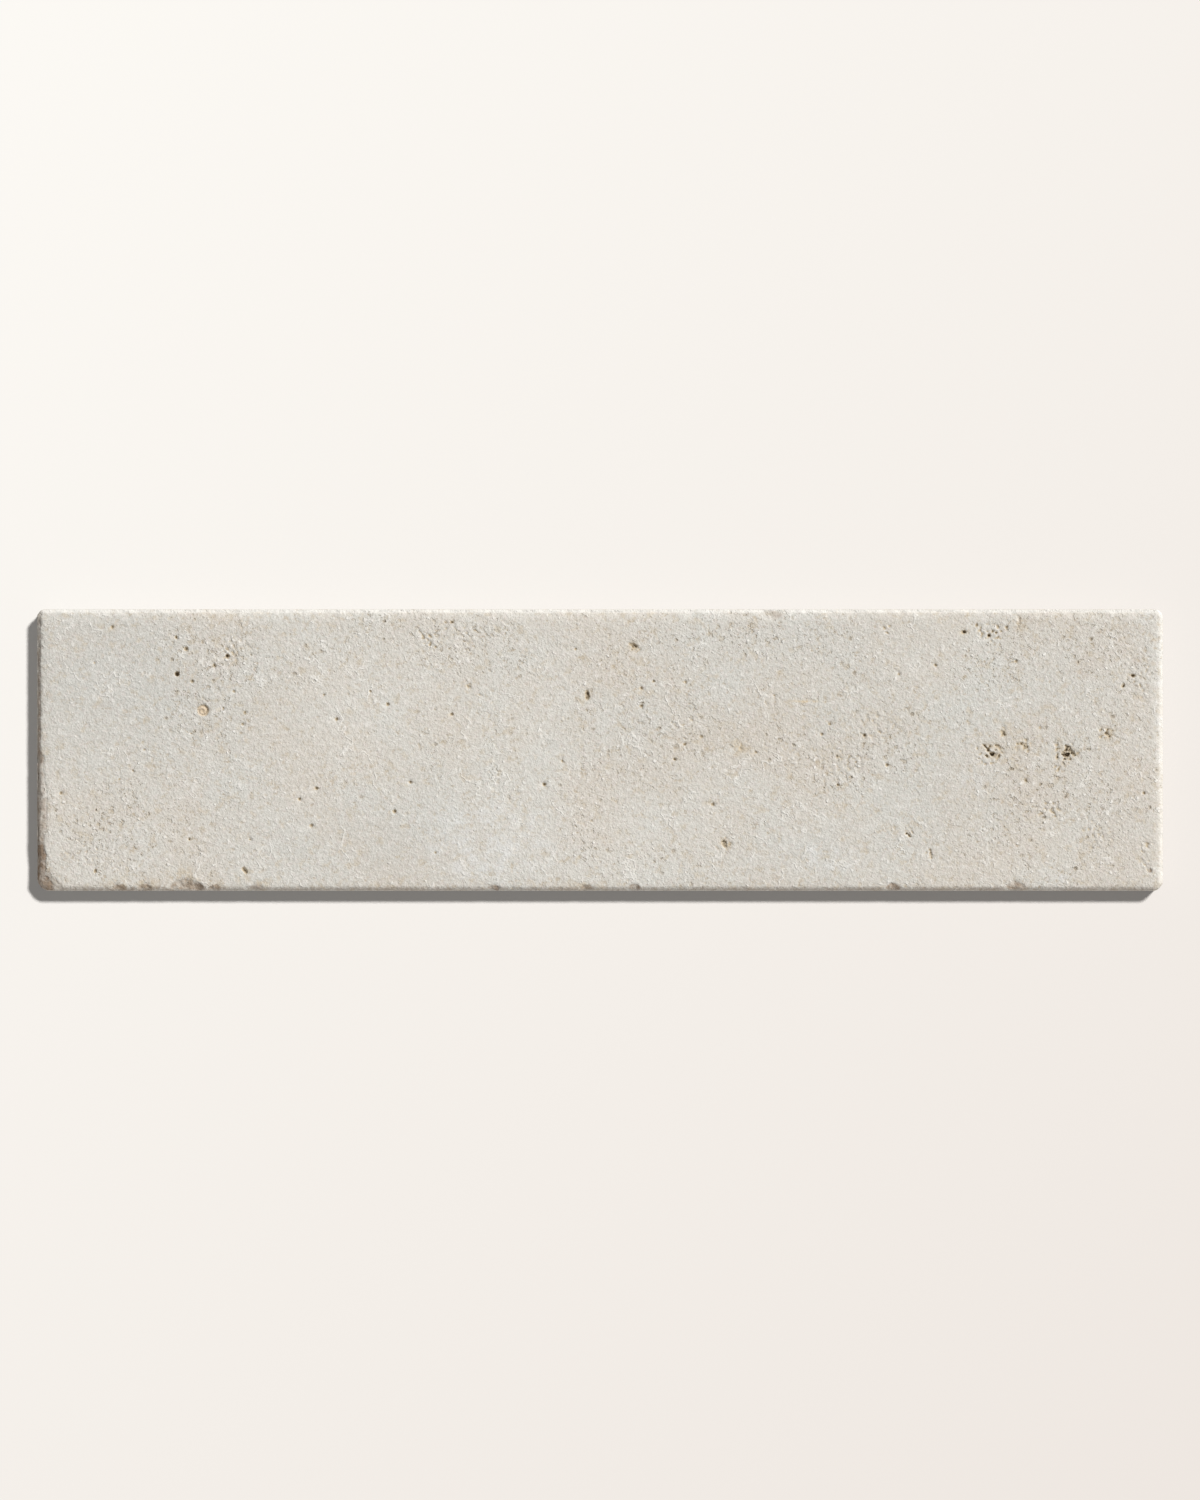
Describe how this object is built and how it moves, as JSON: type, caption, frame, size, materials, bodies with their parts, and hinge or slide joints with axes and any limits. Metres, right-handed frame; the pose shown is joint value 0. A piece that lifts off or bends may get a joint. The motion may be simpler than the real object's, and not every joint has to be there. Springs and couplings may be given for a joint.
{
  "type": "tumbled limestone tile",
  "caption": "Long flat tile of pale grey-beige limestone with a pitted matt face, tumbled round edges and small chips along its front arris and left end.",
  "frame": {"origin": "middle of the flat bed face, on the plane the tile lies on", "axes": "+X along the length, +Y across the width toward the back long edge, +Z out of the show face"},
  "size_m": [0.3048, 0.0762, 0.01],
  "materials": {
    "limestone": "matte"
  },
  "bodies": {
    "root": {"limestone_tile": "limestone"}
  },
  "joints": []
}
